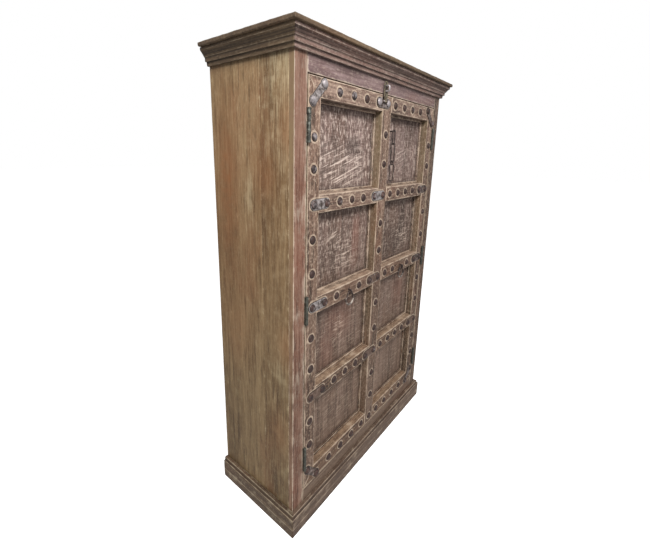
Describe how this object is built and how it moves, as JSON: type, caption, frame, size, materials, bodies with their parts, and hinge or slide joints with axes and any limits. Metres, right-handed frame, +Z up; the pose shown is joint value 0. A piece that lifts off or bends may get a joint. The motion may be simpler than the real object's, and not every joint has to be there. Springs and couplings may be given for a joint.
{
  "type": "cupboard",
  "caption": "Tall wooden cupboard with panelled plank doors, domed iron studs, strap plates, ring pulls, a hasp, a hanging chain, shelves, plinth and cornice.",
  "frame": {"origin": "centre of the bounding box on the floor plane", "axes": "+Z up, doors face -Y, +X to the right of a person who faces the doors"},
  "size_m": [1.166, 0.453, 1.8],
  "materials": {
    "carcass_wood": "worn limewashed",
    "door_wood": "rough sawn, limewashed",
    "moulding_wood": "worn, waxed",
    "inside_wood": "plain, oiled",
    "iron": "forged, dark, worn"
  },
  "bodies": {
    "carcass": {"back_boards": "inside_wood", "bottom_board": "inside_wood", "bottom_face_rail": "carcass_wood", "cornice_cap": "moulding_wood", "cornice_front": "moulding_wood", "cornice_left": "moulding_wood", "cornice_right": "moulding_wood", "door_stop": "inside_wood", "left_face_stile": "carcass_wood", "left_hinge_frame_leaves": "iron", "left_hinge_pins": "iron", "left_side_panel": "carcass_wood", "lintel_staple": "iron", "lower_shelf": "inside_wood", "middle_shelf": "inside_wood", "plinth_front": "moulding_wood", "plinth_left": "moulding_wood", "plinth_right": "moulding_wood", "right_face_stile": "carcass_wood", "right_hinge_frame_leaves": "iron", "right_hinge_pins": "iron", "right_side_panel": "carcass_wood", "shelf_cleats": "inside_wood", "top_board": "inside_wood", "top_face_rail": "carcass_wood", "upper_shelf": "inside_wood"},
    "left_door": {"left_hinge_stile": "door_wood", "left_meeting_stile": "door_wood", "left_rail_bottom": "door_wood", "left_rail_lower": "door_wood", "left_rail_middle": "door_wood", "left_rail_upper": "door_wood", "left_rail_top": "door_wood", "left_planks": "door_wood", "left_panel_beads": "door_wood", "left_straps": "iron", "left_studs": "iron", "left_hinge_door_leaves": "iron", "left_ring_eye": "iron", "hasp_plate": "iron"},
    "right_door": {"right_hinge_stile": "door_wood", "right_rail_bottom": "door_wood", "right_rail_lower": "door_wood", "right_rail_middle": "door_wood", "right_rail_upper": "door_wood", "right_rail_top": "door_wood", "right_planks": "door_wood", "right_panel_beads": "door_wood", "right_straps": "iron", "right_studs": "iron", "right_hinge_door_leaves": "iron", "right_ring_eye": "iron", "chain_staple": "iron"},
    "left_ring": {"left_ring_pull": "iron"},
    "right_ring": {"right_ring_pull": "iron"},
    "hasp": {"hasp": "iron"},
    "chain_upper": {"chain_link_upper": "iron"},
    "chain_middle": {"chain_link_middle": "iron"},
    "chain_end": {"chain_link_end": "iron"}
  },
  "joints": [
    {"name": "left_door_swing", "type": "hinge", "parent": "carcass", "child": "left_door", "pos_m": [-0.4775, -0.1878, 0.915], "axis": [0, 0, -1], "range_deg": [0, 135]},
    {"name": "right_door_swing", "type": "hinge", "parent": "carcass", "child": "right_door", "pos_m": [0.4775, -0.1878, 0.915], "axis": [0, 0, 1], "range_deg": [0, 135]},
    {"name": "left_ring_swing", "type": "hinge", "parent": "left_door", "child": "left_ring", "pos_m": [-0.21925, -0.1905, 0.913], "axis": [-1, 0, 0], "range_deg": [0, 110]},
    {"name": "right_ring_swing", "type": "hinge", "parent": "right_door", "child": "right_ring", "pos_m": [0.22475, -0.1905, 0.913], "axis": [-1, 0, 0], "range_deg": [0, 110]},
    {"name": "hasp_swing", "type": "hinge", "parent": "left_door", "child": "hasp", "pos_m": [-0.0285, -0.1902, 1.648], "axis": [1, 0, 0], "range_deg": [0, 165]},
    {"name": "chain_upper_swing", "type": "hinge", "parent": "right_door", "child": "chain_upper", "pos_m": [0.1015, -0.1675, 1.54494], "axis": [-1, 0, 0], "range_deg": [0, 80]},
    {"name": "chain_middle_swing", "type": "hinge", "parent": "chain_upper", "child": "chain_middle", "pos_m": [0.1015, -0.1675, 1.49504], "axis": [-1, 0, 0], "range_deg": [0, 45]},
    {"name": "chain_end_swing", "type": "hinge", "parent": "chain_middle", "child": "chain_end", "pos_m": [0.1015, -0.1675, 1.41488], "axis": [-1, 0, 0], "range_deg": [0, 45]}
  ]
}
